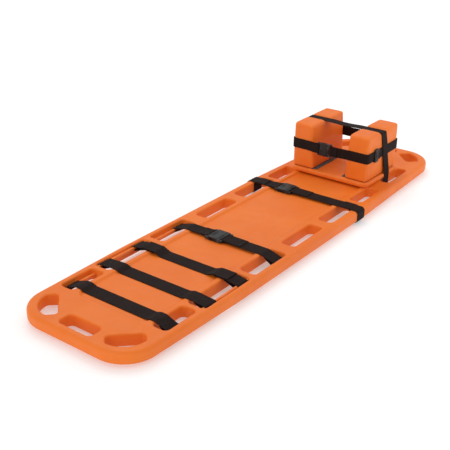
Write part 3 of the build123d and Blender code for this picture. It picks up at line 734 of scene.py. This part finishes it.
def stitch(web, start, end, height):
    """One thread stitch between two places on the strip: a slim lozenge, its back bowed up."""
    way = (end - start).normalized()
    aside = Vector((-way.y, way.x)) * STITCH_RADIUS
    middle = (start + end) / 2
    places = (
        (start, STITCH_TIP), (middle + aside, STITCH_SIDE), (middle, STITCH_BACK),
        (middle - aside, STITCH_SIDE), (middle, STITCH_BELLY), (end, STITCH_TIP),
    )
    corners = [web.at(p.x, p.y, height(rise * STITCH_RADIUS)) for p, rise in places]
    ring = (1, 2, 3, 4)
    faces = []
    for a, b in zip(ring, ring[1:] + ring[:1]):
        faces += [(0, a, b), (5, b, a)]
    return corners, faces


def sew(node, label, web, rows, up):
    """Stitch straight rows on the side that looks up: each row joins two places on the strip."""
    side = web.side_of(rows[0][0].x, up)

    def height(rise):
        return side * (WEB_THICKNESS / 2 + rise)

    stitches = []
    for start, end in rows:
        run = end - start
        count = max(1, round(run.length / (STITCH_LENGTH + STITCH_GAP)))
        reach = run.normalized() * STITCH_LENGTH / 2
        for k in range(count):
            middle = start + run * ((k + 0.5) / count)
            stitches.append(stitch(web, middle - reach, middle + reach, height))
    name = f"{node}_{label}"
    piece = show(name, mesh_of(name, *joined(stitches)), THREAD)
    hold(piece, node)


def sew_box(node, label, web, axis, limits, up=(0, 0, 1), crossed=True):
    """A sewn box between two places on one axis, crossed where it carries a load."""
    low, high = sorted(web.along_of(axis, place, up) for place in limits)
    half = web.width / 2 - STITCH_MARGIN
    corners = [Vector(p) for p in ((low, -half), (high, -half), (high, half), (low, half))]
    rows = list(zip(corners, corners[1:] + corners[:1]))
    if crossed:
        rows += [(corners[0], corners[2]), (corners[1], corners[3])]
    sew(node, label, web, rows, up)


def sew_tacks(node, label, web, axis, places, up=(0, 0, 1)):
    """Bar tacks straight across the strip, near a folded end."""
    half = web.width / 2 - STITCH_MARGIN / 2
    rows = []
    for place in places:
        along = web.along_of(axis, place, up)
        rows.append((Vector((along, -half)), Vector((along, half))))
    sew(node, label, web, rows, up)


def shifted(limits, start, sign=1):
    """Limits measured from a place, on its one side or the other."""
    return [start + sign * limit for limit in limits]


# Scene, camera and light

def add_camera():
    azimuth = math.radians(CAMERA_AZIMUTH)
    elevation = math.radians(CAMERA_ELEVATION)
    back = Vector((
        math.sin(azimuth) * math.cos(elevation),
        -math.cos(azimuth) * math.cos(elevation),
        math.sin(elevation),
    ))
    camera = bpy.data.objects.new("camera", bpy.data.cameras.new("camera"))
    camera.data.lens = CAMERA_LENS
    camera.data.sensor_width = CAMERA_SENSOR
    camera.data.shift_x = CAMERA_SHIFT_X
    camera.location = CAMERA_TARGET + back * CAMERA_DISTANCE
    camera.rotation_euler = (-back).to_track_quat("-Z", "Y").to_euler()
    bpy.context.scene.collection.objects.link(camera)
    bpy.context.scene.camera = camera


def add_area_light(name, place, aim, size, power):
    light = bpy.data.lights.new(name, "AREA")
    light.shape = "DISK"
    light.size = size
    light.energy = power
    holder = bpy.data.objects.new(name, light)
    holder.visible_camera = False
    holder.location = place
    holder.rotation_euler = (Vector(aim) - Vector(place)).to_track_quat("-Z", "Y").to_euler()
    bpy.context.scene.collection.objects.link(holder)


def add_world():
    """A white world, brighter at the horizon, which views from low down see past the floor."""
    world = bpy.data.worlds.new("studio")
    world.use_nodes = True
    nodes, links = world.node_tree.nodes, world.node_tree.links
    split = nodes.new("ShaderNodeSeparateXYZ")
    links.new(nodes.new("ShaderNodeTexCoord").outputs["Generated"], split.inputs[0])
    strength = nodes.new("ShaderNodeMapRange")
    links.new(split.outputs["Z"], strength.inputs["Value"])
    strength.inputs["From Min"].default_value = HORIZON_BAND[0]
    strength.inputs["From Max"].default_value = HORIZON_BAND[1]
    strength.inputs["To Min"].default_value = HORIZON_STRENGTH
    strength.inputs["To Max"].default_value = SKY_STRENGTH
    nodes["Background"].inputs["Color"].default_value = WHITE
    links.new(strength.outputs[0], nodes["Background"].inputs["Strength"])
    bpy.context.scene.world = world


def add_floor():
    mesh = bpy.data.meshes.new("floor")
    signs = ((-1, -1), (1, -1), (1, 1), (-1, 1))
    corners = [(x * FLOOR_REACH, y * FLOOR_REACH, 0.0) for x, y in signs]
    mesh.from_pydata(corners, [], [(0, 1, 2, 3)])
    show("floor", mesh, FLOOR)


def add_studio():
    add_world()
    for name, (place, aim, size, power) in LIGHTS.items():
        add_area_light(name, place, aim, size, power)
    bpy.context.scene.view_settings.view_transform = "Standard"
    add_floor()


# Board

def add_board():
    for node in ("board_skin", "foam_core", "fill_plugs", "strap_pins_left", "strap_pins_right"):
        dress(node)


# Body straps

def add_leg_straps():
    for node in ("ankle_strap", "shin_strap"):
        web = add_strap(node, 1)
        sew_box(node, "stitches_left", web, 0, PIN_BOX)
        sew_box(node, "stitches_right", web, 0, shifted(PIN_BOX, 0.0, -1))


def add_thigh_strap():
    web = add_strap("thigh_strap", 1)
    for side, sign in (("left", 1), ("right", -1)):
        sew_box("thigh_strap", f"stitches_{side}", web, 0, shifted(CLOSURE_BOX, 0.0, sign), crossed=False)
        tab = add_strap(f"thigh_tab_{side}", 1)
        sew_box(f"thigh_tab_{side}", "stitches", tab, 0, shifted(TAB_BOX, 0.0, sign))


def add_buckled_straps():
    """The hip and chest straps: sewn round the receiver's bar, adjustable at the plug's."""
    for prefix, outer_box in (("hip", PIN_BOX), ("chest", WRAP_BOX)):
        receiver_low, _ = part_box(f"{prefix}_buckle_receiver")
        _, plug_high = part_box(f"{prefix}_buckle_plug")
        right = f"{prefix}_strap_right"
        web = add_strap(right, 1)
        sew_box(right, "stitches_tail", web, 0, shifted(SEWN_TAIL, receiver_low.x, -1))
        sew_box(right, "stitches_end", web, 0, shifted(outer_box, 0.0, -1))
        left = f"{prefix}_strap_left"
        web = add_strap(left, 1)
        sew_tacks(left, "stitches_tail", web, 0, shifted(FREE_TAIL, plug_high.x))
        sew_box(left, "stitches_end", web, 0, outer_box)


# Head straps

def rounded(points, bends):
    """A closed line through points in space, each corner rounded by its own bend."""
    count = len(points)
    line = []
    for k, (corner, bend) in enumerate(zip(points, bends)):
        back = (points[k - 1] - corner).normalized()
        on = (points[(k + 1) % count] - corner).normalized()
        turn = math.pi - back.angle(on)
        reach = bend * math.tan(turn / 2)
        start, end = corner + back * reach, corner + on * reach
        for share in np.linspace(0.0, 1.0, BEND_PLACES):
            line.append(start.lerp(corner, share).lerp(corner.lerp(end, share), share))
    return line


def forehead_levels(side):
    """The forehead strap's corners down one side: over the block, the chin strap and the base pad."""
    block = "head_block_left" if side > 0 else "head_block_right"
    outer, chin, base = (
        max(side * corner.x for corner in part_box(node)) for node in (block, "chin_strap_right", "base_pad")
    )
    low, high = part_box("forehead_strap")
    top, under = high.z - WEB_THICKNESS / 2, low.z + WEB_THICKNESS / 2
    chin_low, chin_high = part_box("chin_strap_right")
    base_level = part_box("base_pad")[1].z - BASE_DROP
    foot_y, head_y = low.y + HEAD_WEB_HALF, high.y - HEAD_WEB_HALF
    away = WEB_LIFT + BELT_EASE
    levels = (
        (outer + away, top),
        (chin + away, chin_high.z + BELT_MARGIN),
        (chin + away, chin_low.z - BELT_MARGIN),
        (base + away, base_level),
        (base + away, under),
    )
    slant = (head_y - foot_y) / (top - base_level)
    return [Vector((side * x, foot_y + slant * (top - max(z, base_level)), z)) for x, z in levels]


def add_forehead_strap():
    """One closed loop over both blocks and under the board, that hangs a little between the blocks."""
    left, right = forehead_levels(1), forehead_levels(-1)
    bends = [BLOCK_BEND, EASY_BEND, EASY_BEND, EASY_BEND, BOARD_BEND]
    line = np.array(rounded(left + right[::-1], bends + bends[::-1]))
    line = dense(np.vstack([line, line[:1]]), WEB_STEP)[:-1]
    high = line[:, 2].max()
    middle = (left[0].x + right[0].x) / 2
    hang = np.clip(1.0 - ((line[:, 0] - middle) / SAG_REACH) ** 2, 0.0, None) ** SAG_POWER
    line[:, 2] -= np.where(line[:, 2] > high - TOP_RUN_DEPTH, FOREHEAD_SAG * hang, 0.0)
    web = Web(line, (0.0, 1.0, 0.0), 2 * HEAD_WEB_HALF, closed=True)
    add_web("forehead_strap", web)
    sew_box("forehead_strap", "stitches_lap", web, 0, LAP_BOX, up=(0, 0, -1))


def add_head_straps():
    receiver_low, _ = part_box("chin_buckle_receiver")
    _, plug_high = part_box("chin_buckle_plug")
    outward = (0, -1, 0)
    web = add_strap("chin_strap_right", 2)
    tail = shifted(CHIN_SEWN_TAIL, receiver_low.x, -1)
    sew_box("chin_strap_right", "stitches_tail", web, 0, tail, outward)
    web = add_strap("chin_strap_left", 2)
    sew_tacks("chin_strap_left", "stitches_tail", web, 0, shifted(CHIN_FREE_TAIL, plug_high.x), outward)
    add_forehead_strap()


# Buckles

def bevelled(node, width):
    """A CAD piece with softly broken edges in its own place."""
    piece = show(f"{node}_moulding", copied_mesh(node, node), MATERIALS[SLOT_OF[node]])
    bevel = piece.modifiers.new("bevel", "BEVEL")
    bevel.width = width
    bevel.segments = BEVEL_SEGMENTS
    bevel.limit_method = "ANGLE"
    bevel.angle_limit = BEVEL_ANGLE
    bevel.harden_normals = False
    return piece


def rounded_bar(start, end, radius):
    """A bar with domed ends between two places."""
    way = (end - start).normalized()
    across = way.orthogonal().normalized()
    over = way.cross(across)
    sides = GRIP_SIDES
    dome = GRIP_DOME
    rings = ((start, -dome, dome), (start, 0.0, 1.0), (end, 0.0, 1.0), (end, dome, dome))
    corners = [start - way * radius]
    for place, ahead, size in rings:
        for k in range(sides):
            angle = math.tau * k / sides
            out = across * math.cos(angle) + over * math.sin(angle)
            corners.append(place + way * radius * ahead + out * radius * size)
    corners.append(end + way * radius)
    faces = [(0, 1 + (k + 1) % sides, 1 + k) for k in range(sides)]
    for ring in range(len(rings) - 1):
        a, b = 1 + ring * sides, 1 + (ring + 1) * sides
        faces += [(a + k, a + (k + 1) % sides, b + (k + 1) % sides, b + k) for k in range(sides)]
    last = len(corners) - 1
    faces += [(last, last - sides + k, last - sides + (k + 1) % sides) for k in range(sides)]
    return corners, faces


def bars_from(first, step, reaches):
    """Parallel bars, each a step on from the last, by how far each reaches to either side."""
    middles = [first + step * k for k in range(len(reaches))]
    return [(middle - reach, middle + reach) for middle, reach in zip(middles, reaches)]


def add_grips(node, label, bars, radius):
    """Low rounded ribs half sunk into a moulding, which move with it."""
    name = f"{node}_{label}"
    ribs = [rounded_bar(start, end, radius) for start, end in bars]
    piece = show(name, mesh_of(name, *joined(ribs)), MATERIALS[SLOT_OF[node]])
    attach(piece, BODY_OF[node])


def add_wing_grips(node, side, up, across):
    """Ribs on the outer face of one prong's wing."""
    low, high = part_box(node)
    centre = (low + high) / 2
    wing = max(low.dot(across) * side, high.dot(across) * side)
    first = centre + across * (side * wing - centre.dot(across))
    first.x = low.x + (high.x - low.x) * WING_START
    rise = up * (abs((high - low).dot(up)) / 2 * WING_RISE)
    bars = bars_from(first, Vector((GRIP_STEP, 0, 0)), [rise] * WING_GRIPS)
    add_grips(node, "grips", bars, WING_GRIP_RADIUS)


def add_buckle_grips(buckle):
    """Ribs across the plug's shoulder and the receiver's closed end, and on the prongs' wings."""
    low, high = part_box(f"{buckle}_buckle_receiver")
    upright = buckle == "chin"
    up = Vector((0, -1, 0)) if upright else Vector((0, 0, 1))
    across = Vector((0, 0, 1)) if upright else Vector((0, 1, 0))
    along = Vector((1, 0, 0))
    middle = (low + high) / 2
    mouth = Vector((high.x, middle.y, middle.z))
    half_width = abs((high - low).dot(across)) / 2
    half_height = abs((high - low).dot(up)) / 2
    shares = [RECEIVER_REACH + RECEIVER_REACH_STEP * k for k in range(RECEIVER_GRIPS)]
    receiver_reaches = [across * half_width * share for share in shares]
    plug_reaches = [across * half_width * SHOULDER_REACH] * SHOULDER_GRIPS
    for face, side in (("upper", 1), ("lower", -1)):
        first = mouth + up * side * (half_height - SHOULDER_DROP) + along * SHOULDER_START
        bars = bars_from(first, along * GRIP_STEP, plug_reaches)
        add_grips(f"{buckle}_buckle_plug", f"grips_{face}", bars, GRIP_RADIUS)
        first = mouth + up * side * half_height - along * half_width * RECEIVER_START
        bars = bars_from(first, -along * RECEIVER_STEP, receiver_reaches)
        add_grips(f"{buckle}_buckle_receiver", f"grips_{face}", bars, GRIP_RADIUS)
    for label, side in (("left", 1), ("right", -1)):
        add_wing_grips(f"{buckle}_buckle_prong_{label}", side, up, across)


def add_buckles():
    nodes = [f"{buckle}_buckle_{part}" for buckle in BUCKLES for part in BUCKLE_PARTS]
    made = [(node, bevelled(node, BUCKLE_BEVEL)) for node in nodes]
    made.append(("chin_slider", bevelled("chin_slider", SLIDER_BEVEL)))
    apply_modifiers([piece for _, piece in made])
    for node, piece in made:
        stand_for(piece, node)
    for buckle in BUCKLES:
        add_buckle_grips(buckle)


# Head immobiliser

def soft_copy(node):
    """A foam piece, remeshed from the CAD solid and smoothed, with its edges eased."""
    piece = show(f"{node}_foam", copied_mesh(node, node), MATERIALS[SLOT_OF[node]])
    remesh = piece.modifiers.new("remesh", "REMESH")
    remesh.mode = "VOXEL"
    remesh.voxel_size = FOAM_VOXEL
    smooth = piece.modifiers.new("smooth", "SMOOTH")
    smooth.factor = FOAM_SMOOTHING
    smooth.iterations = FOAM_SMOOTHING_ROUNDS
    return piece


def under_strap(places, strap_y):
    """Which places on a block lie under the forehead strap, or just beside it."""
    return np.abs(places[:, 1] - strap_y) < HEAD_WEB_HALF + PRESSED_MARGIN


def pressed(places, outer, sign, top):
    """Round a block's upper outer corner where the forehead strap pulls over it."""
    from_side = PRESSED_RADIUS - sign * (outer - places[:, 0])
    from_top = PRESSED_RADIUS - (top - places[:, 2])
    reach = np.hypot(from_side, from_top)
    out = (from_side > 0) & (from_top > 0) & (reach > PRESSED_RADIUS)
    shrink = np.where(out, PRESSED_RADIUS / np.maximum(reach, PRESSED_RADIUS), 1.0)
    places[out, 0] = outer - sign * (PRESSED_RADIUS - (from_side * shrink)[out])
    places[out, 2] = top - (PRESSED_RADIUS - (from_top * shrink)[out])


def crowned(places, normals, low, high, strap_y):
    """Swell each face slightly between its edges, leaving the underside and the strap's seat flat."""
    shares = (places - (low + high) / 2) / ((high - low) / 2)
    facing = np.abs(normals).argmax(1)
    domes = np.clip(1.0 - shares ** 2, 0.0, None)
    domes[np.arange(len(places)), facing] = 1.0
    full = domes.prod(1)
    level = facing == 2
    full[level & ((normals[:, 2] < 0) | under_strap(places, strap_y))] = 0.0
    rough = np.array([noise.noise(Vector(place) * FOAM_RIPPLES_PER_METRE) for place in places])
    rough *= np.minimum(1.0, FOAM_RIPPLE_GAIN * full)
    swell = FOAM_CROWN * np.sqrt(full) + FOAM_RIPPLE * rough
    places += normals * swell[:, None]


def settled(places, node, underside):
    """Let a block's lower rim sink round its hook panel, which stays where it is."""
    patch_low, patch_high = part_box(node.replace("head_block", "hook_patch"))
    inside = np.ones(len(places), bool)
    for axis in (0, 1):
        inside &= places[:, axis] > patch_low[axis] - RIM_EASE
        inside &= places[:, axis] < patch_high[axis] + RIM_EASE
    share = np.clip(1.0 - (places[:, 2] - underside) / RIM_HEIGHT, 0.0, 1.0)
    share[inside] = 0.0
    places[:, 2] -= RIM_SINK * share * share * (3.0 - 2.0 * share)


def corner_values(mesh, key):
    """One vector for each corner of a mesh, as the rows of an array."""
    values = np.empty(3 * len(mesh.vertices), np.float32)
    mesh.vertices.foreach_get(key, values)
    return values.reshape(-1, 3).astype(float)


def shape_foam(piece, node):
    """Crown a foam piece's faces, press a block's corner round and sink its lower rim."""
    mesh = piece.data
    places, normals = corner_values(mesh, "co"), corner_values(mesh, "normal")
    low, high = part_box(node)
    strap_low, strap_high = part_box("forehead_strap")
    strap_y = strap_low.y + HEAD_WEB_HALF
    crowned(places, normals, np.array(low), np.array(high), strap_y)
    if node != "base_pad":
        sign = 1 if node.endswith("left") else -1
        seat = under_strap(places, strap_y)
        held = places[seat]
        pressed(held, high.x if sign > 0 else low.x, sign, strap_high.z - WEB_THICKNESS - SEAT_GAP)
        places[seat] = held
        settled(places, node, low.z)
    mesh.vertices.foreach_set("co", places.ravel().astype(np.float32))
    mesh.update()


def add_immobiliser():
    for node in ("loop_field_left", "loop_field_right", "hook_patch_left", "hook_patch_right"):
        dress(node)
    nodes = ("base_pad", "head_block_left", "head_block_right")
    made = [soft_copy(node) for node in nodes]
    apply_modifiers(made)
    for node, piece in zip(nodes, made):
        shape_foam(piece, node)
        stand_for(piece, node)


add_camera()
add_studio()
add_board()
add_leg_straps()
add_thigh_strap()
add_buckled_straps()
add_head_straps()
add_buckles()
add_immobiliser()
